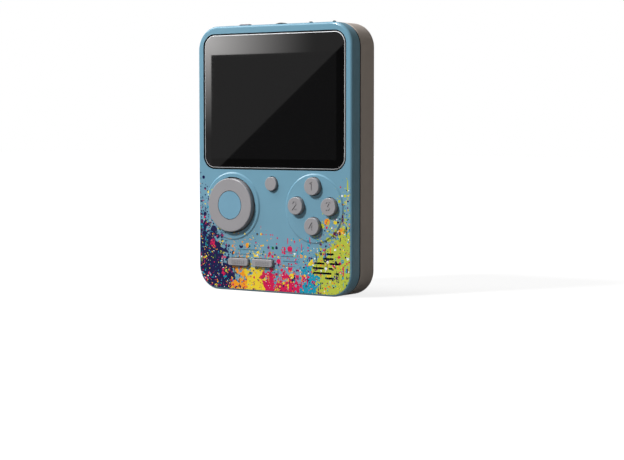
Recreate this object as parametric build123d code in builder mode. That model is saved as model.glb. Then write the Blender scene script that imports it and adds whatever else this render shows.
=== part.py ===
from build123d import *
import os
from math import cos, radians, sin, sqrt

os.makedirs("parts", exist_ok=True)

# Handheld game console, all lengths in millimetres.
# X runs to the right of the screen, Y from the screen to the back, Z up.
# The origin is in the middle of the flat bottom edge, halfway through the thickness.

# Case
case_width = 84.2
case_height = 120.0
case_thickness = 20.6
front_thickness = 7.2
case_corner = 10.8
wall = 1.8
face_wall = 2.2
face_edge = 1.2
back_edge = 4.0
seam_width = 1.0
seam_depth = 0.45
seam_chamfer = 0.3
lip_width = 0.7
lip_height = 1.2
fit = 0.05
gap = 0.1
overrun = 1.0

# Screen: pocket in the face, lens, tape and display
pocket_border = 3.2
pocket_top_border = 3.65
pocket_low_z = 55.25
pocket_corner = 6.0
pocket_depth = 1.4
lens_gap = 0.4
lens_sink = 0.1
lens_bevel = 0.35
tape_thickness = 0.15
tape_margin = 0.3
window_border = 3.9
window_top_border = 8.65
window_low_border = 4.05
window_corner = 1.0
glass_lap = 0.6
glass_ledge = 2.6
glass_thickness = 1.5
display_wall = 0.9
display_lip = 0.4
fence_wall = 0.8
fence_height = 2.6
flex_width = 24.0
flex_thickness = 0.2
flex_bend = 0.5
flex_front_length = 1.4
flex_back_length = 2.5
flex_slot_room = 0.6
connector_height = 2.4
connector_depth = 0.9

# Main board
board_y = -3.6
board_thickness = 1.2
board_margin = 0.6
land_thickness = 0.1

# Raised discs round the controls
disc_radius = 15.5
disc_height = 0.45
disc_slope = 55
disc_inset = 19.6
disc_z = 38.4

# Direction pad
pad_inset = 19.75
pad_z = 38.95
pad_radius = 12.15
pad_rise = 2.6
pad_gap = 0.6
pad_edge = 0.45
pad_top = 1.9
pad_skirt = 1.4
pad_flange_lap = 0.6
pad_flange_thickness = 0.7
pad_flange_y = -6.8
pad_recess_room = 0.5
pad_tilt = 4
cap_radius = 6.35
cap_gap = 0.25
cap_thickness = 0.9
ball_radius = 1.6
ball_y = -6.0
hub_radius = 3.2
post_radius = 2.6
post_y = -5.2
rocker_radius = 8.3

# Action buttons
cluster_inset = 19.75
cluster_z = 39.5
cluster_arm = 8.8
button_radius = 3.9
button_rise = 2.4
button_gap = 0.3
button_edge = 0.3
button_travel = 1.0
numeral_height = 3.4
numeral_stroke = 0.5
numeral_depth = 0.25

# Menu button
menu_x = -0.5
menu_z = 48.95
menu_radius = 3.1
menu_rise = 1.3
menu_travel = 0.6

# Select and start buttons
option_x = -11.95
option_z = 13.2
option_pitch = 13.5
option_width = 11.3
option_height = 3.4
option_corner = 1.2
option_rise = 1.5
option_travel = 0.7
rib_count = 7
rib_pitch = 1.1
rib_width = 0.4
rib_length = 1.7
rib_rise = 0.2

# Silicone mats and the pills that the buttons press on the board
flange_lap = 0.5
flange_thickness = 0.9
pill_radius = 2.2
option_pill_radius = 1.4
pill_clearance = 0.4
touch_gap = 0.1
mat_thickness = 0.6
mat_margin = 0.5
collar_wall = 1.5
collar_slope = 25
collar_gap = 0.4

# Speaker and the slots in front of it
grille_inset = 20.7
grille_width = 14.7
grille_z = 8.0
slot_pitch = 2.14
slot_height = 0.9
speaker_inset = 14.7
speaker_z = 14.8
speaker_radius = 7.5
speaker_wall = 0.8
speaker_ring_height = 2.4
mesh_thickness = 0.2
basket_depth = 2.1
basket_wall = 0.9
basket_plate = 0.5
basket_hole_radius = 0.9
basket_hole_circle = 5.3
cone_thickness = 0.3
cone_depth = 0.9
cone_front_room = 0.5
cone_dome_radius = 2.6
magnet_radius = 4.0
magnet_thickness = 1.2

# Shallow lines pressed in the face beside the slots
line_height = 0.5
line_depth = 0.25
left_lines_x = -21.0
left_lines_width = 15.0
right_lines_x = 4.6
right_lines_width = 8.8

# Screws and their bosses
corner_screw_inset = 6.8
middle_screw_inset = 5.7
middle_screw_z = 52.6
screw_radius = 0.95
screw_length = 8.0
screw_grip = 3.6
screw_head_radius = 1.8
screw_head_height = 1.2
screw_cross_width = 0.5
screw_cross_depth = 0.5
screw_tip_room = 0.5
screw_clearance = 0.3
front_boss_radius = 2.3
rear_boss_radius = 3.1
board_screw_inset = 5.1
board_screw_z = 24.0
board_screw_radius = 0.8
board_screw_grip = 2.4
board_boss_radius = 1.9
board_head_radius = 1.5
board_head_height = 0.9

# Switch, volume wheel and lamps on the top edge, carried by the back of the board
edge_setback = 1.9
edge_rise = 1.1
knob_shift = -1.2
knob_width = 5.2
knob_depth = 2.4
knob_travel = 2.5
knob_gap = 0.3
knob_side_gap = 0.2
knob_edge = 0.3
knob_plate_depth = 3.4
knob_plate_thickness = 0.8
knob_plate_lap = 0.5
knob_groove_count = 3
knob_groove_pitch = 1.3
knob_groove_width = 0.5
knob_groove_depth = 0.3
lever_width = 2.0
lever_depth = 1.2
lever_length = 2.6
lever_room = 0.3
switch_width = 10.5
switch_height = 5.0
switch_depth = 3.2
wheel_x = -1.9
wheel_radius = 8.0
wheel_thickness = 2.0
wheel_gap = 0.4
wheel_notches = 52
wheel_notch_radius = 0.22
spindle_radius = 1.2
spindle_head_radius = 2.0
spindle_head = 0.5
pot_size = 8.0
status_lamp_x = 13.9
status_lamp_radius = 1.0
charge_lamp_shift = 5.35
charge_lamp_radius = 0.75
lamp_edge_share = 0.6
lamp_length = 6.0
lamp_foot = 1.6

# Sockets in the bottom edge
pad_port_x = -16.0
charge_port_x = 10.5
port_width = 7.6
port_height = 2.6
port_depth = 5.2
port_corner = 0.7
port_skin = 0.35
port_tongue = 0.6
port_tongue_inset = 1.2
port_sink = 0.9
port_gap = 0.3
jack_shift = 1.95
jack_bore = 1.8
jack_nose = 2.6
jack_width = 6.0
jack_thickness = 5.0
jack_length = 10.4
jack_bore_depth = 9.0
jack_sink = 0.2

# Battery, its bay and its cover
battery_border = 3.5
battery_height = 34.0
battery_thickness = 5.6
battery_corner = 1.5
battery_play = 0.4
battery_lift = 4.5
battery_cover_room = 0.3
bay_wall = 1.2
spring_room = 2.9
cover_border = 12.1
cover_height = 42.0
cover_z = 10.0
cover_corner = 2.5
cover_gap = 0.2
cover_ledge = 1.2
tab_x = 18.0
tab_width = 8.0
tab_reach = 1.5
tab_thickness = 1.2
tab_window_rise = 2.8
tab_window_drop = 2.0
tab_window_gap = 0.5
thumb_width = 14.0
thumb_height = 3.0
thumb_inset = 4.0
thumb_depth = 0.6
grip_count = 4
grip_pitch = 2.4
grip_width = 26.0
grip_height = 1.0
grip_depth = 0.5
contact_block_width = 1.2
contact_block_height = 13.0
contact_block_depth = 4.2
contact_count = 3
contact_pitch = 4.0
contact_width = 1.2
contact_depth = 2.6

# Chips on the back of the board, behind the display
chip_size = 12.0
chip_thickness = 1.4
chip_x = -9.0
chip_drop = 32.0
memory_width = 12.0
memory_height = 8.0
memory_thickness = 1.0
memory_x = 12.0
memory_drop = 30.0
crystal_width = 8.0
crystal_height = 3.2
crystal_thickness = 1.2
crystal_x = -26.0
crystal_drop = 32.0
chip_part_width = 1.6
chip_part_height = 0.8
chip_part_thickness = 0.7
chip_part_pitch = 3.2
chip_part_columns = 12
chip_part_rows = 2
chip_parts_z = 75.0

# Slots and pressed lines in shares of their rows: row, start and end along the width
slot_places_share = (
    (0, 0.48, 0.78),
    (1, 0.02, 0.69),
    (1, 0.83, 0.96),
    (2, 0.00, 0.42),
    (2, 0.58, 0.73),
    (3, 0.06, 0.44),
    (3, 0.61, 1.00),
    (4, 0.37, 0.77),
    (5, 0.51, 0.77),
)
left_line_places_share = ((5, 0.10, 0.86), (4, 0.0, 0.62))
right_line_places_share = ((5, 0.18, 0.92), (4, 0.0, 0.78), (3, 0.12, 1.0), (2, 0.05, 0.84))

# Strokes of the numerals on the four action buttons, in shares of their height
numeral_strokes_share = {
    "top": [((-0.2, 0.3), (0.05, 0.5), (0.05, -0.5))],
    "left": [((-0.3, 0.25), (-0.12, 0.5), (0.15, 0.5), (0.3, 0.22), (-0.3, -0.5), (0.32, -0.5))],
    "right": [((-0.28, 0.5), (0.3, 0.5), (-0.02, 0.1), (0.3, -0.18), (0.1, -0.5), (-0.3, -0.4))],
    "bottom": [((0.14, -0.5), (0.14, 0.5)), ((0.14, 0.5), (-0.32, -0.2), (0.34, -0.2))],
}

# Widths and places that follow the width and the height of the case
half_width = case_width / 2
pocket_width = case_width - 2 * pocket_border
pocket_height = case_height - pocket_top_border - pocket_low_z
pocket_z = pocket_low_z + pocket_height / 2
window_width = pocket_width - 2 * window_border
window_height = pocket_height - window_top_border - window_low_border
window_z = pocket_low_z + window_low_border + window_height / 2
disc_x = half_width - disc_inset
pad_x = pad_inset - half_width
cluster_x = half_width - cluster_inset
grille_left = half_width - grille_inset
speaker_x = half_width - speaker_inset
knob_x = knob_shift - half_width / 2
charge_lamp_x = half_width / 2 + charge_lamp_shift
jack_x = half_width / 2 + jack_shift
cover_width = case_width - 2 * cover_border
battery_width = cover_width - 2 * battery_border
chip_z = case_height - chip_drop
memory_z = case_height - memory_drop
crystal_z = case_height - crystal_drop

# Depths and heights that follow from the sizes
face_y = -case_thickness / 2
back_y = case_thickness / 2
seam_y = face_y + front_thickness
face_inner_y = face_y + face_wall
back_inner_y = back_y - wall
middle_z = case_height / 2
inner_top_z = case_height - wall
board_back_y = board_y + board_thickness
land_y = board_y - land_thickness
mat_y = board_y - mat_thickness
edge_y = board_back_y + edge_setback
flange_y = face_inner_y + gap
flange_back_y = flange_y + flange_thickness
pad_top_y = face_y - pad_rise
pad_back_y = pad_flange_y + pad_flange_thickness
pad_flange_radius = pad_radius + pad_gap + pad_flange_lap
screw_seat_y = board_y - screw_grip + screw_length
hole_radius = screw_radius + screw_clearance
pocket_floor_y = face_y + pocket_depth
tape_y = pocket_floor_y - tape_thickness
lens_y = face_y + lens_sink
glass_y = face_inner_y + display_lip
glass_back_y = glass_y + glass_thickness
glass_width = window_width + 2 * glass_lap
glass_height = window_height + 2 * glass_lap + glass_ledge
glass_z = window_z - glass_ledge / 2
display_width = glass_width + 2 * (gap + display_wall)
display_height = glass_height + 2 * (gap + display_wall)
flex_z = glass_z - glass_height / 2 + flex_bend
cover_top_z = cover_z + cover_height
battery_y = back_inner_y - battery_cover_room - battery_thickness
battery_z = cover_z + battery_lift + battery_height / 2
bay_width = battery_width + spring_room + battery_play
bay_height = battery_height + 2 * battery_play
bay_x = (battery_play - spring_room) / 2
bay_floor_y = battery_y - bay_wall

# Places
button_places = {
    "top": (cluster_x, cluster_z + cluster_arm),
    "left": (cluster_x - cluster_arm, cluster_z),
    "right": (cluster_x + cluster_arm, cluster_z),
    "bottom": (cluster_x, cluster_z - cluster_arm),
}
option_places = {
    "select": (option_x - option_pitch / 2, option_z),
    "start": (option_x + option_pitch / 2, option_z),
}
rocker_places = [
    (pad_x + rocker_radius * cos(radians(turn)), pad_z + rocker_radius * sin(radians(turn)))
    for turn in range(0, 360, 90)
]
case_screw_places = [
    (side * x, z)
    for side in (-1, 1)
    for x, z in (
        (half_width - corner_screw_inset, corner_screw_inset),
        (half_width - middle_screw_inset, middle_screw_z),
        (half_width - corner_screw_inset, case_height - corner_screw_inset),
    )
]
board_screw_places = [
    (side * (half_width - board_screw_inset), board_screw_z) for side in (-1, 0, 1)
]


def facing(y):
    """A sketch plane at this depth, seen from the front: its x is X and its y is Z."""
    return Plane.XZ.offset(-y)


def plate(width, height, corner, place, front, back, mode=Mode.ADD):
    """A rounded rectangle, as seen from the front, between two depths."""
    with BuildSketch(facing(back)) as outline:
        with Locations(place):
            if corner:
                RectangleRounded(width, height, corner)
            else:
                Rectangle(width, height)
    extrude(outline.sketch, amount=back - front, mode=mode)


def discs(radius, places, front, back, mode=Mode.ADD, taper=0):
    """Discs, as seen from the front, between two depths."""
    with BuildSketch(facing(back)) as outline:
        with Locations(*places):
            Circle(radius)
    extrude(outline.sketch, amount=back - front, mode=mode, taper=taper)


def post(radius, place, low, high, mode=Mode.ADD):
    """A round bar that stands along Z, at a place in X and Y."""
    with BuildSketch(Plane.XY.offset(low)) as outline:
        with Locations(place):
            Circle(radius)
    extrude(outline.sketch, amount=high - low, mode=mode)


def block(width, depth, corner, place, low, high, mode=Mode.ADD):
    """A bar of rectangular section that stands along Z, at a place in X and Y."""
    with BuildSketch(Plane.XY.offset(low)) as outline:
        with Locations(place):
            if corner:
                RectangleRounded(width, depth, corner)
            else:
                Rectangle(width, depth)
    extrude(outline.sketch, amount=high - low, mode=mode)


def rows(table, left, width, height, front, back):
    """Cuts round-ended slots, from a table of row, start share and end share."""
    for row, start, end in table:
        with BuildSketch(facing(back)) as outline:
            with Locations((left + width * (start + end) / 2, grille_z + row * slot_pitch)):
                SlotOverall(width * (end - start), height)
        extrude(outline.sketch, amount=back - front, mode=Mode.SUBTRACT)


def edges_at(builder, y):
    """The edges that lie at one depth."""
    return builder.edges().filter_by_position(Axis.Y, y - fit / 2, y + fit / 2)


def save(builder, name):
    """Labels a finished piece and writes its STEP file."""
    builder.part.label = name
    export_step(builder.part, f"parts/{name}.step")


# Front shell: face with the raised discs, side walls, holes for the controls, bosses
with BuildPart() as front_shell:
    plate(case_width, case_height, case_corner, (0, middle_z), face_y, seam_y)
    fillet(edges_at(front_shell, face_y), face_edge)
    for side in (-1, 1):
        discs(disc_radius, [(side * disc_x, disc_z)], face_y - disc_height, face_y, taper=disc_slope)
    inner_width = case_width - 2 * wall
    inner_height = case_height - 2 * wall
    plate(
        inner_width, inner_height, case_corner - wall,
        (0, middle_z), face_inner_y, seam_y, Mode.SUBTRACT,
    )
    # The rebate for the lip of the rear shell
    plate(
        inner_width + 2 * (lip_width + fit), inner_height + 2 * (lip_width + fit),
        case_corner - wall + lip_width + fit,
        (0, middle_z), seam_y - lip_height - gap, seam_y, Mode.SUBTRACT,
    )
    # The groove round the case where the shells meet
    with BuildSketch(facing(seam_y)) as seam_ring:
        with Locations((0, middle_z)):
            RectangleRounded(case_width + overrun, case_height + overrun, case_corner)
            RectangleRounded(
                case_width - 2 * seam_depth, case_height - 2 * seam_depth,
                case_corner - seam_depth, mode=Mode.SUBTRACT,
            )
    extrude(seam_ring.sketch, amount=seam_width, mode=Mode.SUBTRACT)
    # The pocket of the lens and the window behind it
    plate(
        pocket_width, pocket_height, pocket_corner,
        (0, pocket_z), face_y, pocket_floor_y, Mode.SUBTRACT,
    )
    plate(
        window_width, window_height, window_corner,
        (0, window_z), face_y, face_inner_y, Mode.SUBTRACT,
    )
    # The fence that locates the display
    plate(
        display_width + 2 * (gap + fence_wall), display_height + 2 * (gap + fence_wall), 0,
        (0, glass_z), face_inner_y, face_inner_y + fence_height,
    )
    plate(
        display_width + 2 * gap, display_height + 2 * gap, 0,
        (0, glass_z), face_inner_y, face_inner_y + fence_height, Mode.SUBTRACT,
    )
    # Holes for the controls
    discs(
        pad_flange_radius + pad_recess_room, [(pad_x, pad_z)],
        face_inner_y - disc_height, face_inner_y, Mode.SUBTRACT,
    )
    discs(pad_radius + pad_gap, [(pad_x, pad_z)], pad_top_y, face_inner_y, Mode.SUBTRACT)
    discs(
        button_radius + button_gap, button_places.values(),
        face_y - disc_height, face_inner_y, Mode.SUBTRACT,
    )
    discs(menu_radius + button_gap, [(menu_x, menu_z)], face_y, face_inner_y, Mode.SUBTRACT)
    for place in option_places.values():
        plate(
            option_width + 2 * button_gap, option_height + 2 * button_gap,
            option_corner + button_gap, place, face_y, face_inner_y, Mode.SUBTRACT,
        )
    # Speaker slots, pressed lines, and the ring that holds the speaker
    rows(slot_places_share, grille_left, grille_width, slot_height, face_y, face_inner_y)
    rows(left_line_places_share, left_lines_x, left_lines_width, line_height, face_y, face_y + line_depth)
    rows(right_line_places_share, right_lines_x, right_lines_width, line_height, face_y, face_y + line_depth)
    speaker_seat = speaker_radius + fit
    with BuildSketch(facing(face_inner_y + speaker_ring_height)) as speaker_ring:
        with Locations((speaker_x, speaker_z)):
            Circle(speaker_seat + speaker_wall)
            Circle(speaker_seat, mode=Mode.SUBTRACT)
    extrude(speaker_ring.sketch, amount=speaker_ring_height)
    # Bosses, down to the board
    discs(front_boss_radius, case_screw_places, face_inner_y, board_y)
    discs(
        screw_radius + fit, case_screw_places,
        board_y - screw_grip - screw_tip_room, board_y, Mode.SUBTRACT,
    )
    discs(board_boss_radius, board_screw_places, face_inner_y, board_y)
    discs(
        board_screw_radius + fit, board_screw_places,
        board_y - board_screw_grip - screw_tip_room, board_y, Mode.SUBTRACT,
    )
save(front_shell, "front_shell")

# Rear shell: back, side walls, lip, battery bay, bosses, openings in both ends
with BuildPart() as rear_shell:
    plate(case_width, case_height, case_corner, (0, middle_z), seam_y, back_y)
    fillet(edges_at(rear_shell, back_y), back_edge)
    chamfer(edges_at(rear_shell, seam_y), seam_chamfer)
    plate(
        inner_width, inner_height, case_corner - wall,
        (0, middle_z), seam_y, back_inner_y, Mode.SUBTRACT,
    )
    fillet(edges_at(rear_shell, back_inner_y), back_edge - wall)
    with BuildSketch(facing(seam_y)) as lip_ring:
        with Locations((0, middle_z)):
            RectangleRounded(
                inner_width + 2 * lip_width, inner_height + 2 * lip_width,
                case_corner - wall + lip_width,
            )
            RectangleRounded(inner_width, inner_height, case_corner - wall, mode=Mode.SUBTRACT)
    extrude(lip_ring.sketch, amount=lip_height)
    # The battery bay and the ledge under the edges of its cover
    plate(
        cover_width + 2 * cover_ledge, cover_height + 2 * cover_ledge, cover_corner + cover_ledge,
        (0, cover_z + cover_height / 2), back_inner_y - bay_wall, back_inner_y,
    )
    plate(
        bay_width + 2 * bay_wall, bay_height + 2 * bay_wall, 0,
        (bay_x, battery_z), bay_floor_y, back_inner_y,
    )
    # Bosses for the case screws
    discs(rear_boss_radius, case_screw_places, board_back_y, back_inner_y)
    discs(hole_radius, case_screw_places, board_back_y, back_y, Mode.SUBTRACT)
    discs(
        screw_head_radius + screw_clearance, case_screw_places,
        screw_seat_y, back_y, Mode.SUBTRACT,
    )
    # The opening for the cover, the bay behind it and the windows for its tabs
    plate(
        cover_width + 2 * cover_gap, cover_height + 2 * cover_gap, cover_corner + cover_gap,
        (0, cover_z + cover_height / 2), back_inner_y, back_y, Mode.SUBTRACT,
    )
    plate(bay_width, bay_height, 0, (bay_x, battery_z), battery_y, back_inner_y, Mode.SUBTRACT)
    for side in (-1, 1):
        plate(
            tab_width + 2 * tab_window_gap, tab_window_rise + tab_window_drop, 0,
            (side * tab_x, cover_z + (tab_window_rise - tab_window_drop) / 2),
            back_inner_y - bay_wall, back_inner_y, Mode.SUBTRACT,
        )
    # Openings in the top edge
    knob_plate_top_z = inner_top_z - gap
    wheel_z = case_height + edge_rise - wheel_radius
    wheel_chord = sqrt(wheel_radius**2 - (inner_top_z - wheel_z) ** 2)
    block(
        knob_width + knob_travel + 2 * knob_gap, knob_depth + 2 * knob_side_gap, 0,
        (knob_x + knob_travel / 2, edge_y), inner_top_z, case_height, Mode.SUBTRACT,
    )
    block(
        2 * (wheel_chord + wheel_gap), wheel_thickness + 2 * wheel_gap, 0,
        (wheel_x, edge_y), inner_top_z, case_height, Mode.SUBTRACT,
    )
    post(status_lamp_radius + gap, (status_lamp_x, edge_y), inner_top_z, case_height, Mode.SUBTRACT)
    post(charge_lamp_radius + gap, (charge_lamp_x, edge_y), inner_top_z, case_height, Mode.SUBTRACT)
    # Openings in the bottom edge
    port_y = board_back_y + port_height / 2
    jack_y = board_back_y + jack_thickness / 2
    for x in (pad_port_x, charge_port_x):
        block(
            port_width + 2 * port_gap, port_height + 2 * port_gap, port_corner + port_gap,
            (x, port_y), 0, wall, Mode.SUBTRACT,
        )
    post(jack_nose + gap, (jack_x, jack_y), 0, wall, Mode.SUBTRACT)
save(rear_shell, "rear_shell")

# Battery cover: a flush panel that swings out about its lower edge on two tabs
with BuildPart() as battery_cover:
    plate(
        cover_width, cover_height, cover_corner,
        (0, cover_z + cover_height / 2), back_inner_y, back_y,
    )
    for side in (-1, 1):
        plate(
            tab_width, 2 * tab_reach, 0,
            (side * tab_x, cover_z), back_inner_y - tab_thickness, back_inner_y - gap,
        )
        plate(
            tab_width, tab_reach, 0,
            (side * tab_x, cover_z + tab_reach / 2), back_inner_y - tab_thickness, back_inner_y,
        )
    plate(
        thumb_width, thumb_height, thumb_height / 3,
        (0, cover_top_z - thumb_inset), back_y - thumb_depth, back_y, Mode.SUBTRACT,
    )
    for row in range(grip_count):
        plate(
            grip_width, grip_height, grip_height / 3,
            (0, cover_top_z - 2 * thumb_inset - row * grip_pitch),
            back_y - grip_depth, back_y, Mode.SUBTRACT,
        )
save(battery_cover, "battery_cover")

# Lens: the clear plate over the display
lens_width = pocket_width - 2 * lens_gap
lens_height = pocket_height - 2 * lens_gap
lens_corner = pocket_corner - lens_gap
with BuildPart() as screen_lens:
    plate(lens_width, lens_height, lens_corner, (0, pocket_z), lens_y, tape_y)
    chamfer(edges_at(screen_lens, lens_y), lens_bevel)
save(screen_lens, "screen_lens")

# Tape: the frame of adhesive under the lens
with BuildPart() as lens_tape:
    plate(
        lens_width - 2 * tape_margin, lens_height - 2 * tape_margin, lens_corner - tape_margin,
        (0, pocket_z), tape_y, pocket_floor_y,
    )
    plate(
        window_width + 2 * tape_margin, window_height + 2 * tape_margin, window_corner,
        (0, window_z), tape_y, pocket_floor_y, Mode.SUBTRACT,
    )
save(lens_tape, "lens_tape")

# Display frame: holds the glass against the inside of the face
with BuildPart() as display_frame:
    plate(display_width, display_height, 0, (0, glass_z), face_inner_y, board_y)
    plate(
        glass_width + 2 * gap, glass_height + 2 * gap, 0,
        (0, glass_z), glass_y, board_y, Mode.SUBTRACT,
    )
    plate(
        window_width, window_height, window_corner,
        (0, window_z), face_inner_y, glass_y, Mode.SUBTRACT,
    )
save(display_frame, "display_frame")

# Display glass, with a ledge at its lower edge for the flex
with BuildPart() as display_glass:
    plate(glass_width, glass_height, 0, (0, glass_z), glass_y, glass_back_y)
save(display_glass, "display_glass")

# Backlight: fills the room between the glass and the board
with BuildPart() as backlight:
    plate(
        glass_width, window_height + 2 * glass_lap, 0,
        (0, window_z), glass_back_y, board_y,
    )
save(backlight, "backlight")

# Flex: from the ledge of the glass through the board to the connector on its back
flex_back_y = board_back_y + connector_depth / 2
with BuildPart() as display_flex:
    with BuildSketch(Plane.YZ) as flex_path:
        with BuildLine():
            FilletPolyline(
                (glass_back_y + flex_thickness / 2, flex_z + flex_front_length),
                (glass_back_y + flex_thickness / 2, flex_z),
                (flex_back_y, flex_z),
                (flex_back_y, flex_z + flex_back_length),
                radius=flex_bend,
            )
        trace(line_width=flex_thickness)
    extrude(flex_path.sketch, amount=flex_width / 2, both=True)
save(display_flex, "display_flex")

# Connector of the flex
with BuildPart() as flex_connector:
    plate(
        flex_width + 2 * display_wall, connector_height, 0,
        (0, flex_z + flex_back_length + connector_height / 2),
        board_back_y, board_back_y + connector_depth,
    )
save(flex_connector, "flex_connector")

# Main board, with a slot for the flex and holes for the screws
with BuildPart() as main_board:
    plate(
        inner_width - 2 * board_margin, inner_height - 2 * board_margin,
        case_corner - wall - board_margin, (0, middle_z), board_y, board_back_y,
    )
    plate(
        flex_width + 2 * flex_slot_room, 2 * flex_slot_room + flex_thickness, 0,
        (0, flex_z), board_y, board_back_y, Mode.SUBTRACT,
    )
    discs(hole_radius, case_screw_places, board_y, board_back_y, Mode.SUBTRACT)
    discs(
        board_screw_radius + screw_clearance, board_screw_places,
        board_y, board_back_y, Mode.SUBTRACT,
    )
save(main_board, "main_board")

# Contact lands under the pills of every control
with BuildPart() as contact_lands:
    discs(
        pill_radius, [*rocker_places, *button_places.values(), (menu_x, menu_z)],
        land_y, board_y,
    )
    discs(option_pill_radius, option_places.values(), land_y, board_y)
save(contact_lands, "contact_lands")

# Processor with its legs in the footprint of the package
with BuildPart() as processor:
    plate(
        chip_size, chip_size, 0, (chip_x, chip_z),
        board_back_y, board_back_y + chip_thickness,
    )
    chamfer(edges_at(processor, board_back_y + chip_thickness), gap)
save(processor, "processor")

# Memory chip with the games
with BuildPart() as memory_chip:
    plate(
        memory_width, memory_height, 0, (memory_x, memory_z),
        board_back_y, board_back_y + memory_thickness,
    )
    chamfer(edges_at(memory_chip, board_back_y + memory_thickness), gap)
save(memory_chip, "memory_chip")

# Crystal that clocks the processor
with BuildPart() as crystal:
    plate(
        crystal_width, crystal_height, crystal_height / 3, (crystal_x, crystal_z),
        board_back_y, board_back_y + crystal_thickness,
    )
save(crystal, "crystal")

# Capacitors and resistors in rows
with BuildPart() as chip_parts:
    for column in range(chip_part_columns):
        for row in range(chip_part_rows):
            place = (
                (column - (chip_part_columns - 1) / 2) * chip_part_pitch,
                chip_parts_z + row * chip_part_pitch,
            )
            plate(
                chip_part_width, chip_part_height, 0, place,
                board_back_y, board_back_y + chip_part_thickness,
            )
save(chip_parts, "chip_parts")

# Direction pad: a ring on a hollow puck with a flange, four posts and a ball socket
with BuildPart() as dpad_ring:
    discs(pad_radius, [(pad_x, pad_z)], pad_top_y, pad_back_y)
    fillet(edges_at(dpad_ring, pad_top_y), pad_edge)
    discs(pad_flange_radius, [(pad_x, pad_z)], pad_flange_y, pad_back_y)
    discs(
        cap_radius + cap_gap, [(pad_x, pad_z)],
        pad_top_y, pad_top_y + cap_thickness, Mode.SUBTRACT,
    )
    with BuildSketch(facing(pad_back_y)) as core:
        with Locations((pad_x, pad_z)):
            Circle(pad_radius - pad_skirt)
            Circle(hub_radius, mode=Mode.SUBTRACT)
    extrude(core.sketch, amount=pad_back_y - pad_top_y - pad_top, mode=Mode.SUBTRACT)
    discs(pill_radius, rocker_places, pad_top_y + pad_top, pad_back_y)
    with Locations((pad_x, ball_y, pad_z)):
        Sphere(ball_radius + fit, mode=Mode.SUBTRACT)
save(dpad_ring, "dpad_ring")

# Cap: the coloured disc in the middle of the ring
with BuildPart() as dpad_cap:
    discs(cap_radius, [(pad_x, pad_z)], pad_top_y, pad_top_y + cap_thickness)
save(dpad_cap, "dpad_cap")

# Ball: the pad tilts on it both ways
with BuildPart() as dpad_ball:
    with Locations((pad_x, ball_y, pad_z)):
        Sphere(ball_radius)
save(dpad_ball, "dpad_ball")

# Post: carries the ball in a cup, on the board
with BuildPart() as dpad_post:
    discs(post_radius, [(pad_x, pad_z)], post_y, board_y)
    with Locations((pad_x, ball_y, pad_z)):
        Sphere(ball_radius + fit, mode=Mode.SUBTRACT)
save(dpad_post, "dpad_post")

# Pills of the direction pad, which stop just above the lands at full tilt both ways
rocker_drop = rocker_radius * sin(radians(pad_tilt)) + pill_radius * sin(radians(pad_tilt * sqrt(2)))
with BuildPart() as dpad_pills:
    discs(pill_radius, rocker_places, pad_back_y, land_y - touch_gap - rocker_drop)
save(dpad_pills, "dpad_pills")

# Mat under the direction pad
with BuildPart() as dpad_mat:
    discs(rocker_radius + pill_radius + pill_clearance + mat_margin, [(pad_x, pad_z)], mat_y, board_y)
    discs(post_radius + pill_clearance, [(pad_x, pad_z)], mat_y, board_y, Mode.SUBTRACT)
    discs(pill_radius + pill_clearance, rocker_places, mat_y, board_y, Mode.SUBTRACT)
save(dpad_mat, "dpad_mat")


def mat_collars(radius, places, travel):
    """The roots of the domes: sloped collars on a mat, with a bore for each pill."""
    bore = radius + pill_clearance
    collar_y = flange_back_y + travel + collar_gap
    discs(bore + collar_wall, places, collar_y, mat_y, taper=collar_slope)
    discs(bore, places, collar_y, board_y, Mode.SUBTRACT)


# Mat under the action buttons
with BuildPart() as action_mat:
    mat_radius = cluster_arm + pill_radius + pill_clearance + collar_wall + mat_margin
    discs(mat_radius, [(cluster_x, cluster_z)], mat_y, board_y)
    mat_collars(pill_radius, button_places.values(), button_travel)
save(action_mat, "action_mat")

# Mat under the menu button
with BuildPart() as menu_mat:
    menu_mat_radius = pill_radius + pill_clearance + collar_wall + mat_margin
    discs(menu_mat_radius, [(menu_x, menu_z)], mat_y, board_y)
    mat_collars(pill_radius, [(menu_x, menu_z)], menu_travel)
save(menu_mat, "menu_mat")

# Mat under the select and start buttons
with BuildPart() as option_mat:
    option_mat_height = 2 * (option_pill_radius + pill_clearance + collar_wall + mat_margin)
    plate(
        option_pitch + option_mat_height, option_mat_height,
        mat_margin, (option_x, option_z), mat_y, board_y,
    )
    mat_collars(option_pill_radius, option_places.values(), option_travel)
save(option_mat, "option_mat")

# Action buttons: a cap with an engraved numeral, and a flange behind the face
for side, place in button_places.items():
    button_top_y = face_y - button_rise
    with BuildPart() as action_button:
        discs(button_radius, [place], button_top_y, flange_back_y)
        fillet(edges_at(action_button, button_top_y), button_edge)
        discs(button_radius + button_gap + flange_lap, [place], flange_y, flange_back_y)
        with BuildSketch(facing(button_top_y)) as numeral:
            for stroke in numeral_strokes_share[side]:
                with BuildLine():
                    Polyline(
                        [
                            (place[0] + across * numeral_height, place[1] + up * numeral_height)
                            for across, up in stroke
                        ]
                    )
                trace(line_width=numeral_stroke)
        extrude(numeral.sketch, amount=-numeral_depth, mode=Mode.SUBTRACT)
    save(action_button, f"action_button_{side}")
    with BuildPart() as action_pill:
        discs(pill_radius, [place], flange_back_y, land_y - touch_gap - button_travel)
    save(action_pill, f"action_pill_{side}")

# Menu button and its pill
with BuildPart() as menu_button:
    discs(menu_radius, [(menu_x, menu_z)], face_y - menu_rise, flange_back_y)
    fillet(edges_at(menu_button, face_y - menu_rise), button_edge)
    discs(menu_radius + button_gap + flange_lap, [(menu_x, menu_z)], flange_y, flange_back_y)
save(menu_button, "menu_button")

with BuildPart() as menu_pill:
    discs(pill_radius, [(menu_x, menu_z)], flange_back_y, land_y - touch_gap - menu_travel)
save(menu_pill, "menu_pill")

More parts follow.
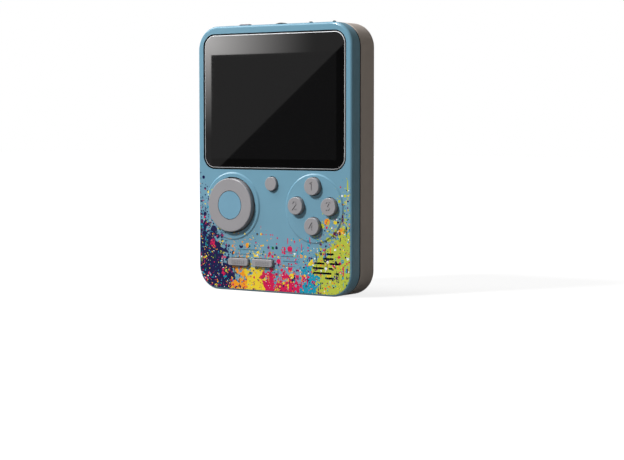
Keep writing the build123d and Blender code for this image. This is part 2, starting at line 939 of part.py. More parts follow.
# Select and start buttons, with upright grip ribs, and their pills
for name, place in option_places.items():
    option_top_y = face_y - option_rise
    with BuildPart() as option_button:
        plate(option_width, option_height, option_corner, place, option_top_y, flange_back_y)
        fillet(edges_at(option_button, option_top_y), button_edge)
        plate(
            option_width + 2 * (button_gap + flange_lap),
            option_height + 2 * (button_gap + flange_lap),
            option_corner + button_gap + flange_lap, place, flange_y, flange_back_y,
        )
        for rib in range(rib_count):
            rib_x = place[0] + (rib - (rib_count - 1) / 2) * rib_pitch
            plate(
                rib_width, rib_length, rib_width / 3,
                (rib_x, place[1]), option_top_y - rib_rise, option_top_y,
            )
    save(option_button, f"{name}_button")
    with BuildPart() as option_pill:
        discs(option_pill_radius, [place], flange_back_y, land_y - touch_gap - option_travel)
    save(option_pill, f"{name}_pill")

# Power switch: the body on the board, with a slot for the lever of its knob
knob_plate_z = knob_plate_top_z - knob_plate_thickness
switch_top_z = knob_plate_z - gap
switch_x = knob_x + knob_travel / 2
with BuildPart() as power_switch:
    block(
        switch_width, switch_depth, 0, (switch_x, board_back_y + switch_depth / 2),
        switch_top_z - switch_height, switch_top_z,
    )
    block(
        lever_width + knob_travel + 2 * lever_room, lever_depth + 2 * lever_room, 0,
        (switch_x, edge_y), knob_plate_z - lever_length - lever_room, switch_top_z, Mode.SUBTRACT,
    )
save(power_switch, "power_switch")

# Power knob: slides along the top edge
with BuildPart() as power_knob:
    knob_top_z = case_height + edge_rise
    block(knob_width, knob_depth, 0, (knob_x, edge_y), knob_plate_z, knob_top_z)
    fillet(power_knob.faces().sort_by(Axis.Z)[-1].edges(), knob_edge)
    knob_plate_width = knob_width + 2 * (knob_travel + knob_gap + knob_plate_lap)
    block(knob_plate_width, knob_plate_depth, 0, (knob_x, edge_y), knob_plate_z, knob_plate_top_z)
    block(lever_width, lever_depth, 0, (knob_x, edge_y), knob_plate_z - lever_length, knob_plate_z)
    for groove in range(knob_groove_count):
        groove_x = knob_x + (groove - (knob_groove_count - 1) / 2) * knob_groove_pitch
        block(
            knob_groove_width, knob_depth, 0, (groove_x, edge_y),
            knob_top_z - knob_groove_depth, knob_top_z, Mode.SUBTRACT,
        )
save(power_knob, "power_knob")

# Volume control: its body on the board and the spindle that carries the wheel
wheel_front_y = edge_y - wheel_thickness / 2
wheel_back_y = edge_y + wheel_thickness / 2
with BuildPart() as volume_control:
    plate(
        pot_size, pot_size, 0, (wheel_x, inner_top_z - board_margin - pot_size / 2),
        board_back_y, wheel_front_y - gap,
    )
    discs(spindle_radius, [(wheel_x, wheel_z)], board_back_y, wheel_back_y + gap + spindle_head)
    discs(
        spindle_head_radius, [(wheel_x, wheel_z)],
        wheel_back_y + gap, wheel_back_y + gap + spindle_head,
    )
save(volume_control, "volume_control")

# Volume wheel with notches round its rim
with BuildPart() as volume_wheel:
    with BuildSketch(facing(wheel_back_y)) as wheel_outline:
        with Locations((wheel_x, wheel_z)):
            Circle(wheel_radius)
            Circle(spindle_radius + fit, mode=Mode.SUBTRACT)
            with PolarLocations(wheel_radius, wheel_notches):
                Circle(wheel_notch_radius, mode=Mode.SUBTRACT)
    extrude(wheel_outline.sketch, amount=wheel_thickness)
save(volume_wheel, "volume_wheel")

# Lamps: light pipes that stand proud of the top edge, each on a foot on the board
lamps = {
    "status_lamp": (status_lamp_x, status_lamp_radius),
    "charge_lamp": (charge_lamp_x, charge_lamp_radius),
}
for name, (lamp_x, lamp_radius) in lamps.items():
    lamp_top_z = case_height + edge_rise
    lamp_low_z = lamp_top_z - lamp_length
    with BuildPart() as lamp:
        post(lamp_radius, (lamp_x, edge_y), lamp_low_z, lamp_top_z)
        fillet(lamp.faces().sort_by(Axis.Z)[-1].edges(), lamp_radius * lamp_edge_share)
        block(
            lamp_foot, edge_setback, 0, (lamp_x, board_back_y + edge_setback / 2),
            lamp_low_z, lamp_low_z + lamp_foot,
        )
    save(lamp, name)

# Sockets for the gamepad and the charger: a metal sleeve with a tongue
for name, port_x in {"pad_port": pad_port_x, "charge_port": charge_port_x}.items():
    port_top_z = port_sink + port_depth
    with BuildPart() as port:
        block(port_width, port_height, port_corner, (port_x, port_y), port_sink, port_top_z)
        block(
            port_width - 2 * port_skin, port_height - 2 * port_skin, port_corner - port_skin,
            (port_x, port_y), port_sink, port_top_z - port_tongue, Mode.SUBTRACT,
        )
        block(
            port_width - 2 * port_tongue_inset, port_tongue, 0,
            (port_x, port_y), port_sink + port_tongue, port_top_z,
        )
    save(port, name)

# Socket for sound and picture, with a round nose in the bottom edge
with BuildPart() as av_jack:
    jack_low_z = wall + gap
    block(
        jack_width, jack_thickness, 0, (jack_x, jack_y), jack_low_z, jack_low_z + jack_length,
    )
    post(jack_nose, (jack_x, jack_y), jack_sink, jack_low_z)
    post(jack_bore, (jack_x, jack_y), jack_sink, jack_sink + jack_bore_depth, Mode.SUBTRACT)
save(av_jack, "av_jack")

# Battery
with BuildPart() as battery:
    plate(
        battery_width, battery_height, battery_corner, (0, battery_z),
        battery_y, battery_y + battery_thickness,
    )
save(battery, "battery")

# Contacts of the battery: a block on the wall of the bay and three sprung blades
bay_left_x = bay_x - bay_width / 2
block_x = bay_left_x + contact_block_width / 2
contact_y = battery_y + contact_block_depth / 2
with BuildPart() as contact_block:
    plate(
        contact_block_width, contact_block_height, 0, (block_x, battery_z),
        battery_y, battery_y + contact_block_depth,
    )
save(contact_block, "contact_block")

with BuildPart() as battery_contacts:
    blade_left_x = bay_left_x + contact_block_width
    blade_length = -battery_width / 2 - blade_left_x
    for blade in range(contact_count):
        blade_z = battery_z + (blade - (contact_count - 1) / 2) * contact_pitch
        plate(
            blade_length, contact_width, 0, (blade_left_x + blade_length / 2, blade_z),
            contact_y - contact_depth / 2, contact_y + contact_depth / 2,
        )
save(battery_contacts, "battery_contacts")

# Speaker: mesh against the slots, basket, cone and magnet
mesh_back_y = face_inner_y + mesh_thickness
basket_back_y = mesh_back_y + basket_depth
with BuildPart() as speaker_mesh:
    discs(speaker_radius, [(speaker_x, speaker_z)], face_inner_y, mesh_back_y)
save(speaker_mesh, "speaker_mesh")

with BuildPart() as speaker_basket:
    discs(speaker_radius, [(speaker_x, speaker_z)], mesh_back_y, basket_back_y + basket_plate)
    discs(
        speaker_radius - basket_wall, [(speaker_x, speaker_z)],
        mesh_back_y, basket_back_y, Mode.SUBTRACT,
    )
    with BuildSketch(facing(basket_back_y + basket_plate)) as basket_holes:
        with Locations((speaker_x, speaker_z)):
            with PolarLocations(basket_hole_circle, 4):
                Circle(basket_hole_radius)
    extrude(basket_holes.sketch, amount=basket_plate, mode=Mode.SUBTRACT)
save(speaker_basket, "speaker_basket")

with BuildPart() as speaker_cone:
    cone_y = mesh_back_y + cone_front_room
    cone_rim = speaker_radius - basket_wall
    with BuildSketch(Plane.XY.offset(speaker_z)) as cone_profile:
        with BuildLine():
            Polyline(
                (speaker_x, cone_y),
                (speaker_x + cone_dome_radius, cone_y + cone_depth),
                (speaker_x + cone_rim, cone_y),
                (speaker_x + cone_rim, cone_y + cone_thickness),
                (speaker_x + cone_dome_radius, cone_y + cone_depth + cone_thickness),
                (speaker_x, cone_y + cone_thickness),
                close=True,
            )
        make_face()
    revolve(cone_profile.sketch, axis=Axis((speaker_x, 0, speaker_z), (0, 1, 0)))
save(speaker_cone, "speaker_cone")

with BuildPart() as speaker_magnet:
    magnet_y = basket_back_y + basket_plate
    discs(magnet_radius, [(speaker_x, speaker_z)], magnet_y, magnet_y + magnet_thickness)
save(speaker_magnet, "speaker_magnet")


def screws(radius, head_radius, head_height, places, tip, seat):
    """Screws with a cross in the head, which point to the front."""
    head_y = seat + head_height
    discs(radius, places, tip, seat)
    discs(head_radius, places, seat, head_y)
    for place in places:
        for width, height in ((head_radius, screw_cross_width), (screw_cross_width, head_radius)):
            plate(width, height, 0, place, head_y - screw_cross_depth, head_y, Mode.SUBTRACT)


# Screws that hold the two shells together
with BuildPart() as case_screws:
    screws(
        screw_radius, screw_head_radius, screw_head_height, case_screw_places,
        screw_seat_y - screw_length, screw_seat_y,
    )
save(case_screws, "case_screws")

# Screws that hold the board to the front shell
with BuildPart() as board_screws:
    screws(
        board_screw_radius, board_head_radius, board_head_height, board_screw_places,
        board_y - board_screw_grip, board_back_y,
    )
save(board_screws, "board_screws")
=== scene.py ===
from math import cos, pi, radians, sin

import bmesh
import bpy
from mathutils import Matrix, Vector


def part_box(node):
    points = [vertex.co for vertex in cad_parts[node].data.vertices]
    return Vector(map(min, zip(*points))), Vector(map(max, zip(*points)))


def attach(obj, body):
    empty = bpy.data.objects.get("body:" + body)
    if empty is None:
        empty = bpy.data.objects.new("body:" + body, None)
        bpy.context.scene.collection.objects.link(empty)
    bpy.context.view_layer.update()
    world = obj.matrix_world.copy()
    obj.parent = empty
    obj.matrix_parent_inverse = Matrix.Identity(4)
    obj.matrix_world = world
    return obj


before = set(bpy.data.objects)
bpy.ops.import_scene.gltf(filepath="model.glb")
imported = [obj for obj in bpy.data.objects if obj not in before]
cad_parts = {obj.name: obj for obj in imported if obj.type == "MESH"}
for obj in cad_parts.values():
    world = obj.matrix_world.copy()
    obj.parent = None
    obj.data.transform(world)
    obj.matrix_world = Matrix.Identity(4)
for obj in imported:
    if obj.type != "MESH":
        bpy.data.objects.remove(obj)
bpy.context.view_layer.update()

# The camera: it looks at the console from its right side and a little from above, and stands upright.
# The image is taken as 624 x 460.
SENSOR = 36.0
IMAGE_WIDTH = 624
FOCAL_PIXELS = 1653.4
NEAREST = 0.01
CAMERA_PLACE = Vector((0.43085, -0.61076, 0.07434))
CAMERA_YAW = 0.598708
CAMERA_PITCH = 0.0622588

scene = bpy.context.scene
scene.view_settings.view_transform = "Standard"


def aim(thing, place, direction):
    """Puts a camera or a lamp in its place, facing in a direction."""
    thing.location = place
    thing.rotation_mode = "QUATERNION"
    thing.rotation_quaternion = direction.to_track_quat("-Z", "Y")
    scene.collection.objects.link(thing)


view_line = Vector((
    -sin(CAMERA_YAW) * cos(CAMERA_PITCH), cos(CAMERA_YAW) * cos(CAMERA_PITCH), -sin(CAMERA_PITCH)
))
eye = bpy.data.objects.new("camera", bpy.data.cameras.new("camera"))
eye.data.sensor_width = SENSOR
eye.data.lens = FOCAL_PIXELS * SENSOR / IMAGE_WIDTH
eye.data.clip_start = NEAREST
aim(eye, CAMERA_PLACE, view_line)
scene.camera = eye

# The background: a plain white studio. It is white to the rays that look at it and dimmer in a gloss,
# and gives only a low even light to everything else.
WHITE_LIGHT = (1.0, 1.0, 1.0, 1.0)
WORLD_LIGHT = 0.085
GLOSS_SHARE = 0.12


def add(tree, kind, *inputs, sockets=(), **settings):
    """A node with its settings. Inputs come in order, and sockets by name: each is set or linked."""
    made = tree.nodes.new(kind)
    for name, value in settings.items():
        setattr(made, name, value)
    for place, value in (*enumerate(inputs), *dict(sockets).items()):
        if isinstance(value, bpy.types.NodeSocket):
            tree.links.new(value, made.inputs[place])
        else:
            made.inputs[place].default_value = value
    return made


def maths(tree, operation, *inputs):
    """The result of one sum on values."""
    return add(tree, "ShaderNodeMath", *inputs, operation=operation).outputs[0]


def background_rays(tree):
    """1 for rays that see the background, from the camera or through a clear piece, less off a gloss."""
    path = add(tree, "ShaderNodeLightPath").outputs
    seen = maths(tree, "MAXIMUM", path["Is Camera Ray"], path["Is Transmission Ray"])
    return maths(tree, "MAXIMUM", seen, maths(tree, "MULTIPLY", path["Is Glossy Ray"], GLOSS_SHARE))


world = bpy.data.worlds.new("studio")
world.use_nodes = True
scene.world = world
sky = world.node_tree
sky.nodes.clear()
level = maths(sky, "MULTIPLY_ADD", background_rays(sky), 1 - WORLD_LIGHT, WORLD_LIGHT)
glow = add(sky, "ShaderNodeBackground", WHITE_LIGHT, level)
add(sky, "ShaderNodeOutputWorld", glow.outputs[0])

# The floor: a pale matt sheet, a hair below the foot of the console. It takes the shadow, and runs out
# into the white of the background.
MM = 0.001
FLOOR_HALF = 3.0
FLOOR_SINK = 0.02
FLOOR_COLOUR = (0.20, 0.20, 0.20, 1.0)
FLOOR_GLOW = 0.83
FLOOR_FAR_GLOW = 0.20
FLOOR_NEAR = 0.12
FLOOR_FAR = 0.80


def bare_material(name):
    """A material with no nodes yet, and its tree."""
    made = bpy.data.materials.new(name)
    made.use_nodes = True
    made.node_tree.nodes.clear()
    return made, made.node_tree


def panel(name, corners, material):
    """A flat piece of the studio between four corners."""
    mesh = bpy.data.meshes.new(name)
    mesh.from_pydata(corners, [], [(0, 1, 2, 3)])
    mesh.materials.append(material)
    made = bpy.data.objects.new(name, mesh)
    scene.collection.objects.link(made)
    return made


ground, tree = bare_material("floor")
matte = add(tree, "ShaderNodeBsdfDiffuse", FLOOR_COLOUR)
spot = add(tree, "ShaderNodeTexCoord").outputs["Object"]
away = add(tree, "ShaderNodeVectorMath", spot, operation="LENGTH").outputs["Value"]
fade = add(
    tree, "ShaderNodeMapRange", interpolation_type="SMOOTHSTEP",
    sockets={"Value": away, "From Min": FLOOR_NEAR, "From Max": FLOOR_FAR},
).outputs[0]
glow_level = maths(tree, "MULTIPLY_ADD", fade, FLOOR_FAR_GLOW, FLOOR_GLOW)
shine = add(
    tree, "ShaderNodeEmission", WHITE_LIGHT, maths(tree, "MULTIPLY", background_rays(tree), glow_level)
)
both = add(tree, "ShaderNodeAddShader", matte.outputs[0], shine.outputs[0])
add(tree, "ShaderNodeOutputMaterial", both.outputs[0])
floor = panel("floor", [
    (-FLOOR_HALF, -FLOOR_HALF, 0), (FLOOR_HALF, -FLOOR_HALF, 0),
    (FLOOR_HALF, FLOOR_HALF, 0), (-FLOOR_HALF, FLOOR_HALF, 0),
], ground)
floor.location.z = -FLOOR_SINK * MM

# The lamps: square softboxes that face the middle of the console. The key lamp is at the upper left in
# front, a weak one hangs above, and a wide one at the far left lights the edges.
LOOK_AT = Vector((0.0, 0.0, 0.06))
LAMPS = {
    "key_lamp": {"place": Vector((-0.58, -1.00, 1.04)), "width": 0.20, "power": 24.1},
    "top_lamp": {"place": Vector((-0.25, -0.15, 1.10)), "width": 0.30, "power": 4.2},
    "rim_lamp": {"place": Vector((-1.02, -0.30, 0.96)), "width": 0.70, "power": 8.0},
}
for name, lamp in LAMPS.items():
    softbox = bpy.data.objects.new(name, bpy.data.lights.new(name, "AREA"))
    softbox.data.shape = "SQUARE"
    softbox.data.size = lamp["width"]
    softbox.data.energy = lamp["power"]
    aim(softbox, lamp["place"], LOOK_AT - lamp["place"])

# The flag: a felt panel to the right and behind, which keeps that side of the console in shade. It
# doesn't show, and casts no shadow of the lamps.
FELT_GREY = (0.228, 0.212, 0.192, 1.0)
FLAG_X = 0.42
FLAG_Y = (-0.30, 1.30)
FLAG_TOP = 0.95


def hide_from(thing, *rays):
    """Leaves a piece of the studio out of what these rays see."""
    for ray in rays:
        setattr(thing, f"visible_{ray}", False)


felt, tree = bare_material("flag_felt")
add(tree, "ShaderNodeOutputMaterial", add(tree, "ShaderNodeBsdfDiffuse", FELT_GREY).outputs[0])
flag = panel("flag", [
    (FLAG_X, FLAG_Y[0], 0), (FLAG_X, FLAG_Y[1], 0),
    (FLAG_X, FLAG_Y[1], FLAG_TOP), (FLAG_X, FLAG_Y[0], FLAG_TOP),
], felt)
hide_from(flag, "camera", "shadow", "transmission", "volume_scatter")

# The reflector card: it stands where the lens mirrors the studio, dark with a lighter corner and a
# slanting edge, and only glossy surfaces see it. Its pattern is laid out in millimetres of the lens,
# which mirrors each spot halfway to the mirror place, and fades out past the lens's rim.
CARD_Y = -0.61
CARD_X = (-0.53, -0.332)
CARD_Z = (0.014, 0.18)
CARD_TINT = (1.0, 0.98, 0.97, 1.0)
MIRROR_X = 430.9
MIRROR_Z = 74.3
HALFWAY = 0.5
LENS_MIDDLE = (0.0, 85.8)
PANE_X = (-34.3, 33.9)
PANE_Z = (60.0, 107.0)
EDGE_SLOPE = 0.798
EDGE_FOOT = (-28.0, 57.5)
BRIGHT_CORNER = (-38.0, 114.0)
BRIGHT_LEVEL = 3.65
BRIGHT_REACH = 62.0
BRIGHT_CURVE = 1.6
BRIGHT_FALL = 1.35
BORDER_LEVEL = 0.173
PANE_LEVEL = 0.131
DARK_LEVEL = 0.019
RIM_HALF = (39.5, 31.5)
RIM_CORNER = 6.5
RIM_SOFTNESS = 9.0


def millimetres(tree):
    """The place on the surface, in millimetres of the part's own frame."""
    place = add(tree, "ShaderNodeTexCoord").outputs["Object"]
    return add(
        tree, "ShaderNodeVectorMath", place, operation="SCALE", sockets={"Scale": 1 / MM}
    ).outputs[0]


def place_on(tree):
    """The same place as three values: across, inward and upward."""
    return add(tree, "ShaderNodeSeparateXYZ", millimetres(tree)).outputs


def distance(tree, *legs):
    """The distance that two legs at right angles span."""
    return maths(tree, "SQRT", maths(tree, "ADD", *[maths(tree, "MULTIPLY", leg, leg) for leg in legs]))


def limited(tree, value, low, high):
    """A value kept between two others."""
    return maths(tree, "MINIMUM", maths(tree, "MAXIMUM", value, low), high)


def beyond(tree, across, upward, middle, half, corner):
    """How far a place lies outside a rectangle with round corners, below 0 inside it."""
    legs = []
    for value, centre, reach in zip((across, upward), middle, half):
        off = maths(tree, "ABSOLUTE", maths(tree, "SUBTRACT", value, centre))
        legs.append(maths(tree, "SUBTRACT", off, reach - corner))
    outer = distance(tree, *[maths(tree, "MAXIMUM", leg, 0.0) for leg in legs])
    inner = maths(tree, "MINIMUM", maths(tree, "MAXIMUM", *legs), 0.0)
    return maths(tree, "SUBTRACT", maths(tree, "ADD", outer, inner), corner)


card_finish, tree = bare_material("reflector")
x, y, z = place_on(tree)
across = maths(tree, "MULTIPLY", maths(tree, "ADD", x, MIRROR_X), HALFWAY)
upward = maths(tree, "MULTIPLY", maths(tree, "ADD", z, MIRROR_Z), HALFWAY)

edge = maths(tree, "MULTIPLY_ADD", across, EDGE_SLOPE, EDGE_FOOT[1] - EDGE_SLOPE * EDGE_FOOT[0])
lit_side = maths(tree, "GREATER_THAN", upward, edge)
left_border = maths(tree, "LESS_THAN", across, PANE_X[0])
top_border = maths(tree, "GREATER_THAN", upward, PANE_Z[1])
on_border = maths(tree, "MAXIMUM", left_border, top_border)

corner_across = maths(tree, "SUBTRACT", across, BRIGHT_CORNER[0])
corner_down = maths(tree, "MULTIPLY_ADD", upward, BRIGHT_FALL, -BRIGHT_FALL * BRIGHT_CORNER[1])
from_corner = distance(tree, corner_across, corner_down)
near = maths(tree, "MAXIMUM", maths(tree, "MULTIPLY_ADD", from_corner, -1 / BRIGHT_REACH, 1.0), 0.0)
corner_light = maths(
    tree, "MULTIPLY_ADD", maths(tree, "POWER", near, BRIGHT_CURVE), BRIGHT_LEVEL, BORDER_LEVEL
)
border_light = maths(tree, "MULTIPLY", on_border, maths(tree, "SUBTRACT", corner_light, PANE_LEVEL))
lit = maths(tree, "MULTIPLY", lit_side, maths(tree, "ADD", border_light, PANE_LEVEL))
beam = add(tree, "ShaderNodeEmission", CARD_TINT, maths(tree, "MAXIMUM", lit, DARK_LEVEL))

past_rim = beyond(tree, across, upward, LENS_MIDDLE, RIM_HALF, RIM_CORNER)
fading = limited(tree, maths(tree, "MULTIPLY", past_rim, 1 / RIM_SOFTNESS), 0.0, 1.0)
clear = add(tree, "ShaderNodeBsdfTransparent")
veil = add(tree, "ShaderNodeMixShader", fading, beam.outputs[0], clear.outputs[0])
add(tree, "ShaderNodeOutputMaterial", veil.outputs[0])
card = panel("reflector", [
    (CARD_X[0], CARD_Y, CARD_Z[0]), (CARD_X[1], CARD_Y, CARD_Z[0]),
    (CARD_X[1], CARD_Y, CARD_Z[1]), (CARD_X[0], CARD_Y, CARD_Z[1]),
], card_finish)
hide_from(card, "camera", "diffuse", "shadow", "transmission", "volume_scatter")


# The front shell: the front half of the case, moulded in plastic and painted satin blue under a thin
# clear coat. It has the pocket for the lens, and a groove all round where the rear shell closes. Both
# lie in deep shade, and that shade is painted into the colour: the groove, and the pocket with a thin
# line of the face round its rim, are painted near-black.
def paint(red, green, blue):
    """A colour as it shows on a screen, from 0 to 255, turned into the values that a shader takes."""
    shares = [part / 255 for part in (red, green, blue)]
    return (*[s / 12.92 if s < 0.04045 else ((s + 0.055) / 1.055) ** 2.4 for s in shares], 1.0)


SHELL_BLUE = paint(110, 155, 176)
COAT_ROUGHNESS = 0.12
GROOVE_PAINTED_SHADE = paint(11, 14, 16)
GROOVE_Y = (-4.08, -3.02)
POCKET_PAINTED_SHADE = paint(10, 12, 14)
POCKET_HALF = (38.9, 30.55)
POCKET_CORNER = 6.0
POCKET_SHADE = 0.16
POCKET_BACK_Y = -7.0
SLOW_TONE = 0.03
TONE_DETAIL = 2.0
HEIGHT_DETAIL = 3.0
ROUGHNESS_DRIFT = 0.1


def blended(tree, share, first, second):
    """Two colours mixed by a share from 0 to 1."""
    return add(
        tree, "ShaderNodeMix", data_type="RGBA", sockets={0: share, 6: first, 7: second}
    ).outputs[2]


def grain_group():
    """Grain of a moulded or painted surface: a tone that drifts slowly, and a fine height."""
    made = bpy.data.node_groups.new("surface grain", "ShaderNodeTree")
    for name, way in (("Size", "INPUT"), ("Tone", "OUTPUT"), ("Height", "OUTPUT")):
        made.interface.new_socket(name, in_out=way, socket_type="NodeSocketFloat")
    given = add(made, "NodeGroupInput")
    result = add(made, "NodeGroupOutput")
    fine = maths(made, "DIVIDE", 1.0, given.outputs["Size"])
    slow = maths(made, "MULTIPLY", fine, SLOW_TONE)
    place = millimetres(made)
    for name, scale, detail in (("Tone", slow, TONE_DETAIL), ("Height", fine, HEIGHT_DETAIL)):
        noise = add(
            made, "ShaderNodeTexNoise", sockets={"Vector": place, "Scale": scale, "Detail": detail}
        )
        made.links.new(noise.outputs["Fac"], result.inputs[name])
    return made


surface_grain = grain_group()


def shader_of(material):
    """The shader of a finish."""
    return material.node_tree.nodes["Principled BSDF"]


def finish_of(
    name, colour, roughness, grain=0.4, depth=0.01, drift=0.06, metallic=0.0, coat=0.0, ior=1.5, strength=0.5
):
    """A material with slow drift of tone and roughness, and a fine grain. Sizes are in millimetres."""
    made = bpy.data.materials.new(name)
    made.use_nodes = True
    tree = made.node_tree
    shader = shader_of(made)
    for socket, value in (("Metallic", metallic), ("Coat Weight", coat), ("IOR", ior)):
        shader.inputs[socket].default_value = value
    source = add(tree, "ShaderNodeGroup", node_tree=surface_grain, sockets={"Size": grain}).outputs
    darker = (*[part * (1 - drift) for part in colour[:3]], 1.0)
    lighter = (*[part * (1 + drift) for part in colour[:3]], 1.0)
    tree.links.new(blended(tree, source["Tone"], darker, lighter), shader.inputs["Base Color"])
    uneven = maths(tree, "ADD", source["Tone"], source["Height"])
    mixed = maths(tree, "MULTIPLY_ADD", uneven, ROUGHNESS_DRIFT, roughness - ROUGHNESS_DRIFT)
    tree.links.new(mixed, shader.inputs["Roughness"])
    bump = add(tree, "ShaderNodeBump", sockets={
        "Strength": strength, "Distance": depth * MM, "Height": source["Height"],
    })
    tree.links.new(bump.outputs[0], shader.inputs["Normal"])
    return made


def colour_of(material):
    """What feeds the colour of a finish."""
    return shader_of(material).inputs["Base Color"].links[0].from_socket


def overlay(material, mask, colour):
    """Lays a colour over a finish where the mask is 1."""
    tree = material.node_tree
    laid = blended(tree, mask, colour_of(material), colour)
    tree.links.new(laid, shader_of(material).inputs["Base Color"])


def all_of(tree, first, *others):
    """1 where every one of these masks is 1."""
    for other in others:
        first = maths(tree, "MULTIPLY", first, other)
    return first


def between(tree, value, low, high):
    """1 where a value lies between two others."""
    return all_of(tree, maths(tree, "GREATER_THAN", value, low), maths(tree, "LESS_THAN", value, high))


def dress(material, *names):
    """Puts a material on nodes of the frame."""
    for name in names:
        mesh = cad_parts[name].data
        if not mesh.materials:
            mesh.materials.append(material)
        for place in range(len(mesh.materials)):
            mesh.materials[place] = material


shell_paint = finish_of(
    "shell_paint", SHELL_BLUE, roughness=0.23, grain=0.35, depth=0.006, drift=0.05, coat=0.25, ior=1.42
)
shader_of(shell_paint).inputs["Coat Roughness"].default_value = COAT_ROUGHNESS
tree = shell_paint.node_tree
along, inward, height = place_on(tree)
# Painted shade: the groove where the rear shell closes is painted near-black.
overlay(shell_paint, between(tree, inward, *GROOVE_Y), GROOVE_PAINTED_SHADE)
# Painted shade: the pocket's walls and floor, with a thin line of the face round its rim, are painted
# near-black.
pocket_away = beyond(tree, along, height, LENS_MIDDLE, POCKET_HALF, POCKET_CORNER)
in_painted_pocket_shade = all_of(
    tree, maths(tree, "LESS_THAN", pocket_away, POCKET_SHADE),
    maths(tree, "LESS_THAN", inward, POCKET_BACK_Y),
)
overlay(shell_paint, in_painted_pocket_shade, POCKET_PAINTED_SHADE)
dress(shell_paint, "front_shell")

# The print: bright confetti and drops, printed on the paint of the lower face, thick along the bottom
# and at both sides, and thin above. Solid ink rises to a ragged edge in zones of one colour each, and
# eight layers of drops and strokes lie over it.
PRINT_FACE_Y = -10.05
PRINT_TOP = 54.0
PRINT_MIDDLE = (0.0, 60.0)
PRINT_HALF = (41.15, 59.2)
PRINT_CORNER = 9.85
NAVY = paint(2, 2, 66)
TEAL = paint(8, 148, 178)
GREEN = paint(16, 104, 58)
CRIMSON = paint(206, 4, 76)
ORANGE = paint(240, 152, 24)
YELLOW = paint(236, 206, 44)
LIME = paint(180, 192, 62)
PLUM = paint(96, 26, 92)
WHITE = paint(232, 240, 242)
ZONES = (NAVY, NAVY, ORANGE, YELLOW, CRIMSON, CRIMSON, TEAL, LIME, LIME)
MIXED = (TEAL, CRIMSON, YELLOW, NAVY, LIME, TEAL, WHITE, ORANGE, GREEN, PLUM, NAVY, CRIMSON)
ZONE_SPAN = 84.0
ZONE_BROAD = 0.9
ZONE_ROUGH = 0.5
ROUGH_SIZE = 2.4
ROUGH_HEIGHT = 24.0
ROUGH_DETAIL = 4.0
BROAD_SIZE = 9.0
BROAD_HEIGHT = 15.0
GROUND_RISE = 7.0
RISES = (
    {"middle": -42.0, "width": 24.0, "height": 27.0},
    {"middle": 38.0, "width": 22.0, "height": 24.0},
    {"middle": -8.0, "width": 9.0, "height": 5.0},
)
SPREAD = 32.0
EDGE_DENSITY = 0.62
MOST_DENSITY = 0.9
SIDE_DENSITY = 0.22
SIDE_MIDDLE = 42.0
SIDE_WIDTH = 16.0
OTHER_COLOURS = 0.52
COLOUR_TURNS = 7.3
SMALLEST_DROP = 0.3
LAYERS = (
    {"size": 6.5, "fill": 0.34, "share": 0.70, "turn": 0.0, "stretch": 1.0},
    {"size": 3.4, "fill": 0.36, "share": 0.80, "turn": 0.0, "stretch": 1.0},
    {"size": 2.2, "fill": 0.18, "share": 0.75, "turn": 34.0, "stretch": 7.0},
    {"size": 2.2, "fill": 0.16, "share": 0.70, "turn": -38.0, "stretch": 8.0},
    {"size": 2.0, "fill": 0.36, "share": 0.90, "turn": 0.0, "stretch": 1.0},
    {"size": 1.5, "fill": 0.17, "share": 0.60, "turn": 14.0, "stretch": 9.0},
    {"size": 1.3, "fill": 0.36, "share": 0.90, "turn": 0.0, "stretch": 1.0},
    {"size": 0.9, "fill": 0.34, "share": 0.80, "turn": 0.0, "stretch": 1.0},
)


def from_front(tree):
    """The place as the front shows it, with no depth."""
    across, inward, upward = place_on(tree)
    return add(tree, "ShaderNodeCombineXYZ", across, upward).outputs[0]


def wander(tree, place, size, height, detail=2.0):
    """A smooth noise round 0, with waves of this size and height."""
    noise = add(
        tree, "ShaderNodeTexNoise", noise_dimensions="2D",
        sockets={"Vector": place, "Scale": 1 / size, "Detail": detail},
    )
    return maths(tree, "MULTIPLY", maths(tree, "SUBTRACT", noise.outputs["Fac"], 0.5), height)


def bell(tree, value, middle, width):
    """1 at the middle, falling to 0 at the width on each side."""
    off = maths(tree, "ABSOLUTE", maths(tree, "SUBTRACT", value, middle))
    return maths(tree, "MAXIMUM", maths(tree, "MULTIPLY_ADD", off, -1 / width, 1.0), 0.0)


def palette(tree, share, colours):
    """Even steps through a row of colours."""
    ramp = add(tree, "ShaderNodeValToRGB", share)
    ramp.color_ramp.interpolation = "CONSTANT"
    stops = ramp.color_ramp.elements
    while len(stops) < len(colours):
        stops.new(len(stops) / len(colours))
    for step, (stop, colour) in enumerate(zip(stops, colours)):
        stop.position = step / len(colours)
        stop.color = colour
    return ramp.outputs[0]


def drops(tree, place, chance, size, fill, turn, stretch):
    """Scattered drops: where they are, and a random share for the colour of each."""
    turned = add(tree, "ShaderNodeMapping", sockets={
        "Vector": place, "Rotation": (0, 0, radians(turn)), "Scale": (1 / size, 1 / (size * stretch), 1),
    }).outputs[0]
    cells = add(
        tree, "ShaderNodeTexVoronoi", voronoi_dimensions="2D", sockets={"Vector": turned, "Scale": 1.0}
    ).outputs
    lots = add(tree, "ShaderNodeSeparateColor", cells["Color"]).outputs
    radius = maths(tree, "MULTIPLY_ADD", lots[0], fill * (1 - SMALLEST_DROP), fill * SMALLEST_DROP)
    inside = maths(tree, "LESS_THAN", cells["Distance"], radius)
    return all_of(tree, inside, maths(tree, "LESS_THAN", lots[1], chance)), lots[2]


flat = from_front(tree)
rough_edge = wander(tree, flat, ROUGH_SIZE, ROUGH_HEIGHT, ROUGH_DETAIL)
broad_edge = wander(tree, flat, BROAD_SIZE, BROAD_HEIGHT)
profile = GROUND_RISE
for rise in RISES:
    swell = bell(tree, along, rise["middle"], rise["width"])
    profile = maths(tree, "MULTIPLY_ADD", swell, rise["height"], profile)
below = maths(tree, "SUBTRACT", profile, height)
ragged = maths(tree, "ADD", maths(tree, "ADD", below, rough_edge), broad_edge)
solid = maths(tree, "GREATER_THAN", ragged, 0.0)

